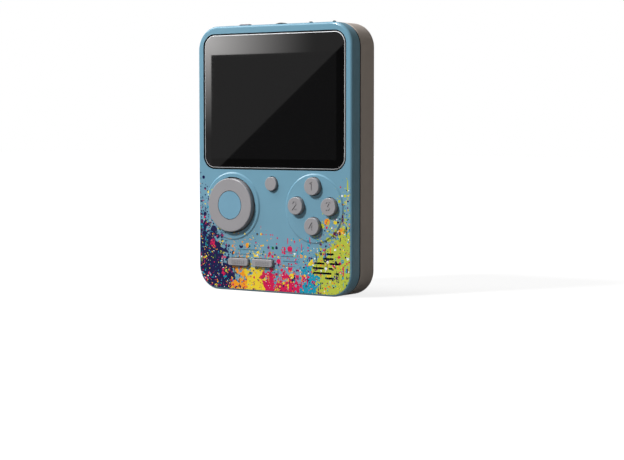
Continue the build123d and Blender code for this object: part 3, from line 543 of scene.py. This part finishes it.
band = maths(tree, "MULTIPLY_ADD", broad_edge, ZONE_BROAD, along)
band = maths(tree, "MULTIPLY_ADD", rough_edge, ZONE_ROUGH, band)
zone = palette(tree, maths(tree, "MULTIPLY_ADD", band, 1 / ZONE_SPAN, 0.5), ZONES)
density = maths(tree, "MULTIPLY_ADD", below, 1 / SPREAD, EDGE_DENSITY)
at_side = bell(tree, maths(tree, "ABSOLUTE", along), SIDE_MIDDLE, SIDE_WIDTH)
density = maths(tree, "MULTIPLY_ADD", at_side, SIDE_DENSITY, density)
density = limited(tree, density, 0.0, MOST_DENSITY)

printed = blended(tree, solid, colour_of(shell_paint), zone)
for layer in LAYERS:
    chance = maths(tree, "MULTIPLY", density, layer["share"])
    mask, lot = drops(tree, flat, chance, layer["size"], layer["fill"], layer["turn"], layer["stretch"])
    of_zone = maths(tree, "GREATER_THAN", lot, OTHER_COLOURS)
    drawn = maths(tree, "FRACT", maths(tree, "MULTIPLY", lot, COLOUR_TURNS))
    colour = blended(tree, of_zone, zone, palette(tree, drawn, MIXED))
    printed = blended(tree, mask, printed, colour)

face_away = beyond(tree, along, height, PRINT_MIDDLE, PRINT_HALF, PRINT_CORNER)
on_face = all_of(
    tree, maths(tree, "LESS_THAN", face_away, 0.0), maths(tree, "LESS_THAN", inward, PRINT_FACE_Y),
    maths(tree, "LESS_THAN", height, PRINT_TOP),
)
overlay(shell_paint, on_face, printed)

# The lens: a clear plate with a black border printed behind it, over a display that is off. It is
# ground to a narrow bevel all round, painted near-white as a highlight of the light it catches, and held
# in the pocket of the shell by black foam tape.
LENS_INK = (0.0012, 0.0012, 0.0014, 1.0)
PANE_COLOUR = (0.0045, 0.0045, 0.0048, 1.0)
BEVEL_PAINTED_HIGHLIGHT = paint(250, 252, 255)
BEVEL_WIDTH = 0.42
BEVEL_BACK_Y = -9.97
LENS_HALF = (38.5, 30.15)
LENS_CORNER = 5.6
LENS_ROUGHNESS = 0.016
BEVEL_ROUGHNESS = 0.38
SMUDGE_SIZE = 9.0
SMUDGE_DEPTH = 0.02
TAPE_BLACK = (0.012, 0.012, 0.013, 1.0)
lens_finish = finish_of(
    "lens_plate", LENS_INK, roughness=LENS_ROUGHNESS, grain=2.5, depth=0.0004, drift=0.05, ior=2.0,
    strength=0.1,
)
tree = lens_finish.node_tree
across, inward, upward = place_on(tree)
in_pane = all_of(tree, between(tree, across, *PANE_X), between(tree, upward, *PANE_Z))
overlay(lens_finish, in_pane, PANE_COLOUR)
# Painted highlight: the outer band of the bevel is painted near-white, where its edge would catch the light.
lens_away = beyond(tree, across, upward, LENS_MIDDLE, LENS_HALF, LENS_CORNER)
on_bevel = all_of(
    tree, maths(tree, "GREATER_THAN", lens_away, -BEVEL_WIDTH),
    maths(tree, "LESS_THAN", inward, BEVEL_BACK_Y),
)
overlay(lens_finish, on_bevel, BEVEL_PAINTED_HIGHLIGHT)
smudges = wander(tree, from_front(tree), SMUDGE_SIZE, SMUDGE_DEPTH)
polished = maths(tree, "ADD", smudges, LENS_ROUGHNESS)
tree.links.new(
    maths(tree, "MULTIPLY_ADD", on_bevel, BEVEL_ROUGHNESS, polished),
    shader_of(lens_finish).inputs["Roughness"],
)
dress(lens_finish, "screen_lens")
dress(finish_of("foam_tape", TAPE_BLACK, roughness=0.8, grain=0.2, depth=0.03), "lens_tape")

# The display: glass with its backlight behind it, held in a black moulded frame. A flex of amber film
# folds from it through the board, to a moulded connector on the back.
FRAME_BLACK = (0.02, 0.02, 0.021, 1.0)
GLASS_DARK = (0.012, 0.013, 0.016, 1.0)
FILM_WHITE = (0.62, 0.63, 0.64, 1.0)
FLEX_AMBER = paint(176, 106, 34)
FLEX_TRACK = paint(120, 66, 26)
FLEX_PITCH = 0.8
NYLON_CREAM = paint(226, 220, 204)
dress(finish_of("frame_plastic", FRAME_BLACK, roughness=0.55, grain=0.3), "display_frame")
dress(
    finish_of("display_glass", GLASS_DARK, roughness=0.12, grain=3.0, depth=0.001, strength=0.1),
    "display_glass",
)
dress(finish_of("backlight_film", FILM_WHITE, roughness=0.4, grain=0.8, depth=0.004), "backlight")
flex_finish = finish_of("flex_film", FLEX_AMBER, roughness=0.38, grain=0.6, depth=0.004)
tree = flex_finish.node_tree
across, inward, upward = place_on(tree)
track = maths(tree, "GREATER_THAN", maths(tree, "PINGPONG", across, FLEX_PITCH), FLEX_PITCH / 2)
overlay(flex_finish, track, FLEX_TRACK)
dress(flex_finish, "display_flex")
dress(finish_of("connector_nylon", NYLON_CREAM, roughness=0.5, grain=0.3), "flex_connector")

# The direction pad: a moulded grey ring with a rounded rim, and a blue disc let into its middle. It
# rocks on a ball of white nylon, on a post that stands on the board.
BUTTON_GREY = paint(150, 148, 151)
CAP_BLUE = paint(112, 157, 180)
POST_WHITE = paint(206, 204, 196)
button_finish = finish_of(
    "button_plastic", BUTTON_GREY, roughness=0.34, grain=0.22, depth=0.008, drift=0.04
)
dress(button_finish, "dpad_ring")
dress(finish_of("cap_plastic", CAP_BLUE, roughness=0.4, grain=0.3, depth=0.006, drift=0.05), "dpad_cap")
dress(
    finish_of("post_nylon", POST_WHITE, roughness=0.4, grain=0.3, depth=0.006), "dpad_ball", "dpad_post"
)

# The buttons: four round action buttons with engraved numerals, a small menu button, and two long
# buttons with grip ribs. All are moulded in the grey of the pad and held behind the face by a flange.
dress(
    button_finish, "action_button_top", "action_button_left", "action_button_right",
    "action_button_bottom", "menu_button", "select_button", "start_button",
)

# The mats: moulded in grey silicone, with a collar round each button's pill, and laid on the board.
# The pills are hard carbon-filled silicone. They move with their buttons and close the contacts.
SILICONE_GREY = paint(150, 152, 156)
CARBON_BLACK = (0.015, 0.015, 0.016, 1.0)
dress(
    finish_of("silicone", SILICONE_GREY, roughness=0.6, grain=0.5, depth=0.01),
    "dpad_mat", "action_mat", "menu_mat", "option_mat",
)
dress(
    finish_of("carbon_pills", CARBON_BLACK, roughness=0.7, grain=0.15, depth=0.015),
    "dpad_pills", "action_pill_top", "action_pill_left", "action_pill_right", "action_pill_bottom",
    "menu_pill", "select_pill", "start_pill",
)

# The main board: green resist over copper tracks, with gold lands for the pills, and the chips, the
# crystal and the small parts soldered to its back.
RESIST = paint(22, 92, 52)
TRACK = paint(44, 122, 70)
TRACK_SIZE = 2.2
TRACK_PITCH = 0.15
TRACK_EDGE = 0.085
LAND_GOLD = paint(208, 168, 92)
EPOXY_BLACK = (0.022, 0.022, 0.024, 1.0)
CAN_STEEL = paint(196, 198, 200)
CERAMIC_TAN = paint(168, 136, 104)
board_finish = finish_of("board_resist", RESIST, roughness=0.32, grain=0.6, depth=0.006)
tree = board_finish.node_tree
cells = add(
    tree, "ShaderNodeTexVoronoi", voronoi_dimensions="2D", distance="CHEBYCHEV",
    sockets={"Vector": from_front(tree), "Scale": 1 / TRACK_SIZE},
)
rings = maths(tree, "PINGPONG", cells.outputs["Distance"], TRACK_PITCH)
overlay(board_finish, maths(tree, "GREATER_THAN", rings, TRACK_EDGE), TRACK)
dress(board_finish, "main_board")
dress(
    finish_of("gold_lands", LAND_GOLD, roughness=0.32, grain=0.2, depth=0.004, metallic=1.0),
    "contact_lands",
)
dress(
    finish_of("chip_epoxy", EPOXY_BLACK, roughness=0.55, grain=0.15, depth=0.012),
    "processor", "memory_chip",
)
dress(finish_of("crystal_can", CAN_STEEL, roughness=0.28, grain=0.4, metallic=1.0), "crystal")
dress(finish_of("ceramic_parts", CERAMIC_TAN, roughness=0.45, grain=0.2), "chip_parts")

# The controls on the top edge: a slide switch with a grey knob, a black thumb wheel on its control,
# and two light pipes of smoked plastic. The bodies of both controls are soldered to the board.
KNOB_GREY = paint(112, 110, 122)
WHEEL_BLACK = (0.010, 0.010, 0.012, 1.0)
BODY_BLACK = (0.03, 0.03, 0.032, 1.0)
LAMP_SMOKE = (0.018, 0.019, 0.022, 1.0)
dress(finish_of("knob_plastic", KNOB_GREY, roughness=0.42, grain=0.25, depth=0.008), "power_knob")
dress(finish_of("wheel_plastic", WHEEL_BLACK, roughness=0.6, grain=0.25, depth=0.008), "volume_wheel")
body_finish = finish_of("control_bodies", BODY_BLACK, roughness=0.5, grain=0.3)
dress(body_finish, "power_switch", "volume_control")
dress(
    finish_of("light_pipe", LAMP_SMOKE, roughness=0.22, grain=0.8, depth=0.002, coat=0.2),
    "status_lamp", "charge_lamp",
)

# The sockets in the bottom edge: two plated sleeves with a tongue, on which the contacts lie as gold
# strips, and a black jack for sound and picture.
SLEEVE_STEEL = paint(188, 190, 194)
JACK_BLACK = (0.02, 0.02, 0.022, 1.0)
STRIP_GOLD = paint(222, 178, 90)
STRIP_COUNT = 5
STRIP_PITCH = 0.95
STRIP_WIDTH = 0.45
STRIP_LENGTH = 3.6
STRIP_LIFT = 0.04
STRIP_EDGE = STRIP_LIFT / 3
TONGUE_HALF = 0.3
TONGUE_FOOT = 1.9
dress(
    finish_of("plated_steel", SLEEVE_STEEL, roughness=0.3, grain=0.5, depth=0.004, metallic=1.0),
    "pad_port", "charge_port",
)
dress(finish_of("jack_plastic", JACK_BLACK, roughness=0.45, grain=0.3), "av_jack")
strip_gold = finish_of("contact_gold", STRIP_GOLD, roughness=0.25, grain=0.3, depth=0.003, metallic=1.0)


def plate_of(name, boxes, material, body):
    """Thin bars with softened edges, each given by its lowest and highest corner in millimetres."""
    mesh = bmesh.new()
    for low, high in boxes:
        for corner in bmesh.ops.create_cube(mesh, size=1.0)["verts"]:
            for axis in range(3):
                span = high[axis] - low[axis]
                corner.co[axis] = (low[axis] + span * (corner.co[axis] + 0.5)) * MM
    bmesh.ops.bevel(mesh, geom=mesh.edges[:], offset=STRIP_EDGE * MM, segments=2, affect="EDGES")
    data = bpy.data.meshes.new(name)
    mesh.to_mesh(data)
    mesh.free()
    data.materials.append(material)
    piece = bpy.data.objects.new(name, data)
    scene.collection.objects.link(piece)
    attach(piece, body)


for port in ("pad_port", "charge_port"):
    low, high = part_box(port)
    middle_x = (low.x + high.x) / 2 / MM
    middle_y = (low.y + high.y) / 2 / MM
    strips = []
    for strip in range(STRIP_COUNT):
        strip_x = middle_x + (strip - (STRIP_COUNT - 1) / 2) * STRIP_PITCH
        strips.append((
            (strip_x - STRIP_WIDTH / 2, middle_y - TONGUE_HALF - STRIP_LIFT, TONGUE_FOOT),
            (strip_x + STRIP_WIDTH / 2, middle_y - TONGUE_HALF + STRIP_LIFT, TONGUE_FOOT + STRIP_LENGTH),
        ))
    plate_of(f"{port}_contacts", strips, strip_gold, "case")

# The speaker: a steel basket with a paper cone and a magnet, held behind the slots of the face. A
# black woven mesh lies against the slots and keeps dust out.
CLOTH_BLACK = (0.02, 0.02, 0.022, 1.0)
GAP_BLACK = (0.006, 0.006, 0.006, 1.0)
MESH_PITCH = 0.28
THREAD_EDGE = 0.35
BASKET_STEEL = paint(150, 152, 156)
CONE_BLACK = (0.03, 0.028, 0.026, 1.0)
cloth = finish_of("speaker_cloth", CLOTH_BLACK, roughness=0.75, grain=0.2)
tree = cloth.node_tree
across, inward, upward = place_on(tree)
waves = [
    maths(tree, "SINE", maths(tree, "MULTIPLY", value, pi / MESH_PITCH)) for value in (across, upward)
]
weave = maths(tree, "ABSOLUTE", maths(tree, "MULTIPLY", *waves))
overlay(cloth, maths(tree, "LESS_THAN", weave, THREAD_EDGE), GAP_BLACK)
dress(cloth, "speaker_mesh")
dress(
    finish_of("speaker_steel", BASKET_STEEL, roughness=0.35, grain=0.4, metallic=1.0),
    "speaker_basket", "speaker_magnet",
)
dress(finish_of("cone_paper", CONE_BLACK, roughness=0.85, grain=0.25, depth=0.03), "speaker_cone")

# The rear shell: moulded in warm grey with a fine spark-eroded grain. Its rim lies in shade in the
# groove of the front shell, and is painted near-black there as shade. Six zinc-plated screws hold it,
# and three more hold the board.
SHELL_GREY = paint(182, 172, 164)
SEAM_PAINTED_SHADE = paint(9, 11, 11)
SEAM_Y = -3.06
SCREW_ZINC = paint(190, 190, 186)
rear_finish = finish_of("rear_plastic", SHELL_GREY, roughness=0.5, grain=0.28, depth=0.02, drift=0.05)
tree = rear_finish.node_tree
across, inward, upward = place_on(tree)
# Painted shade: the rim that lies in the groove of the front shell is painted near-black.
overlay(rear_finish, maths(tree, "LESS_THAN", inward, SEAM_Y), SEAM_PAINTED_SHADE)
dress(rear_finish, "rear_shell")
dress(
    finish_of("zinc_screws", SCREW_ZINC, roughness=0.35, grain=0.3, depth=0.006, metallic=1.0),
    "case_screws", "board_screws",
)

# The battery: a flat pack in a dark wrap. It lies in its bay at the back, pressed against three plated
# blades in a black moulded block.
WRAP_DARK = (0.03, 0.034, 0.045, 1.0)
BLADE_GOLD = paint(206, 172, 104)
dress(finish_of("battery_wrap", WRAP_DARK, roughness=0.3, grain=1.2, depth=0.004), "battery")
dress(
    finish_of("blade_plating", BLADE_GOLD, roughness=0.3, grain=0.3, metallic=1.0), "battery_contacts"
)
dress(body_finish, "contact_block")

# The battery cover: moulded in the same grey plastic as the rear shell, with a thumb notch and grip
# grooves. It swings out on tabs at its lower edge.
dress(rear_finish, "battery_cover")
